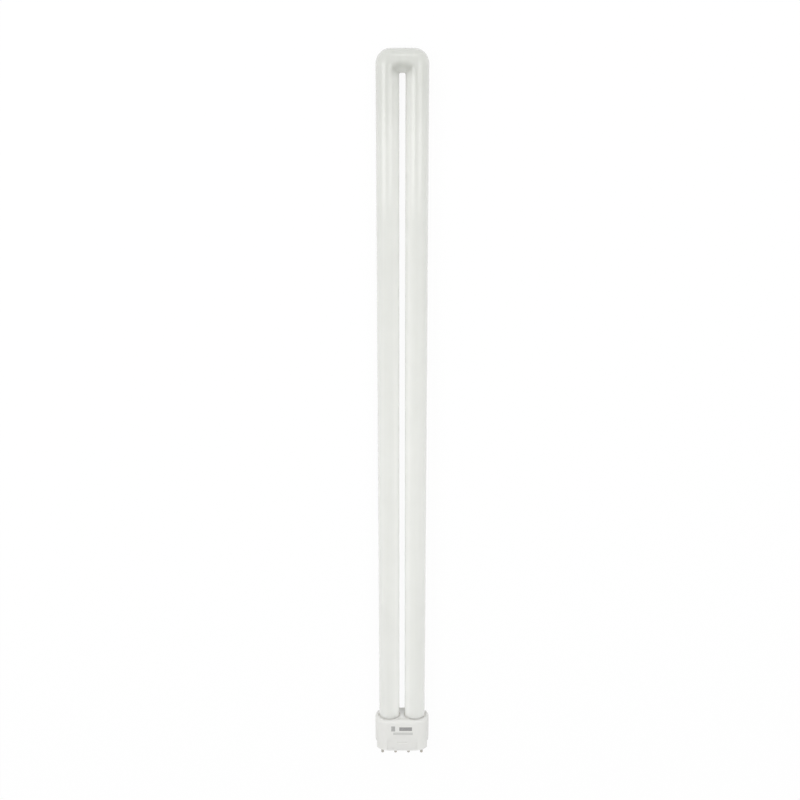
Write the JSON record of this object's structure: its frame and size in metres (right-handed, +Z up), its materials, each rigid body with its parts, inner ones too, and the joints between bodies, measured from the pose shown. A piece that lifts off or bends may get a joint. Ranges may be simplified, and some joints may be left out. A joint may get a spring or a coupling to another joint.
{
  "type": "u shaped fluorescent bulb",
  "caption": "Long narrow U-bent fluorescent bulb: white coated glass tube with a squared-off bend, held in a moulded cap with contact pins in a row.",
  "frame": {"origin": "centre of the cap's seating face, on the lamp's axis, between the two middle pins", "axes": "+Y along the lamp from the cap to the bend; +X across the two legs, in line with the row of pins; +Z up, out of the broad side that faces the viewer. The lamp lies on its other broad side."},
  "size_m": [0.045, 0.5718, 0.0226],
  "materials": {
    "coated_glass": "clear gloss glass over a white powder coating",
    "cap_plastic": "satin moulded white plastic",
    "pin_metal": "nickel-plated brass, dulled",
    "lead_metal": "drawn nickel-iron wire",
    "cement": "matt basing cement"
  },
  "bodies": {
    "root": {"discharge_tube": "coated_glass", "cap_shell": "cap_plastic", "pin_plate": "cap_plastic", "contact_pin_1": "pin_metal", "contact_pin_2": "pin_metal", "contact_pin_3": "pin_metal", "contact_pin_4": "pin_metal", "lead_wire_1": "lead_metal", "lead_wire_2": "lead_metal", "lead_wire_3": "lead_metal", "lead_wire_4": "lead_metal", "cement_ring_left": "cement", "cement_ring_right": "cement"}
  },
  "joints": []
}
